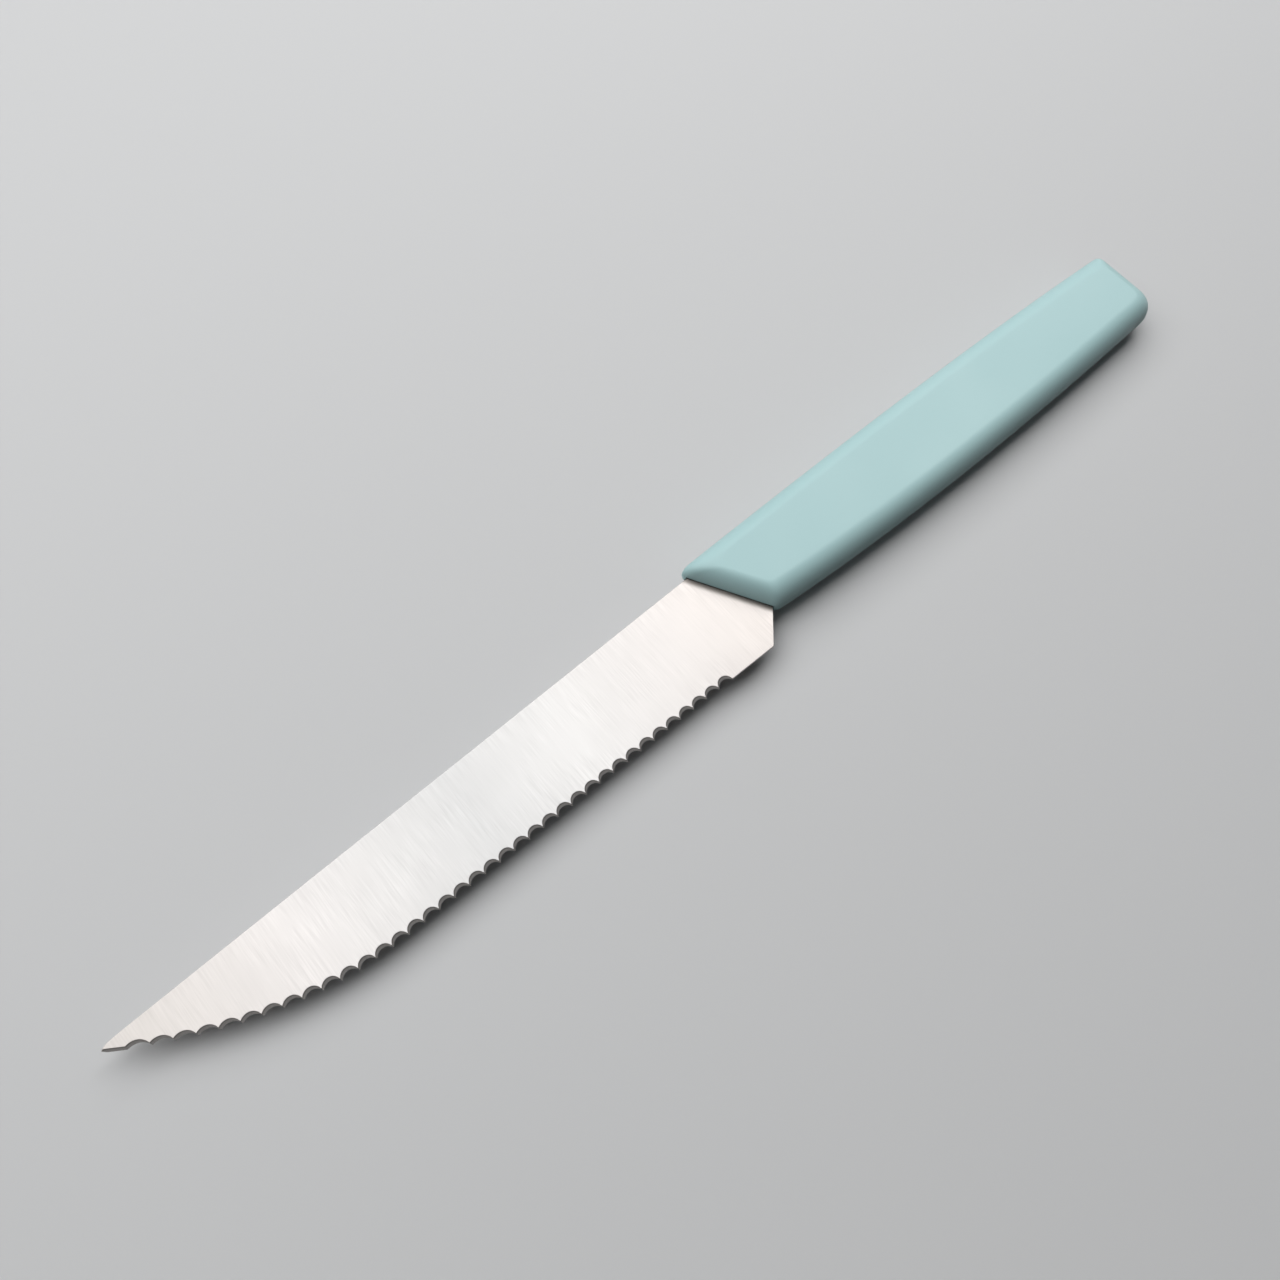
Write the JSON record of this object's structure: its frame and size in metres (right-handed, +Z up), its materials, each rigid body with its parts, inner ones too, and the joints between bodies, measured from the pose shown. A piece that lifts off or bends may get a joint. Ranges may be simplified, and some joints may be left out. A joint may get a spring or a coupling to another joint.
{
  "type": "steak knife",
  "caption": "Steak knife with a taper-ground steel blade, scalloped edge and angled heel, its tang moulded into a flat rounded plastic handle.",
  "frame": {"origin": "middle of the knife's box, on the surface that it lies on", "axes": "+X from the blade's point to the handle's butt, +Y from the cutting edge to the spine, +Z up through the knife's thickness, towards the face that carries the scallops' bevels"},
  "size_m": [0.2412, 0.0222, 0.009],
  "materials": {
    "blade_steel": "satin",
    "handle_plastic": "satin"
  },
  "bodies": {
    "root": {"blade": "blade_steel", "handle": "handle_plastic"}
  },
  "joints": []
}
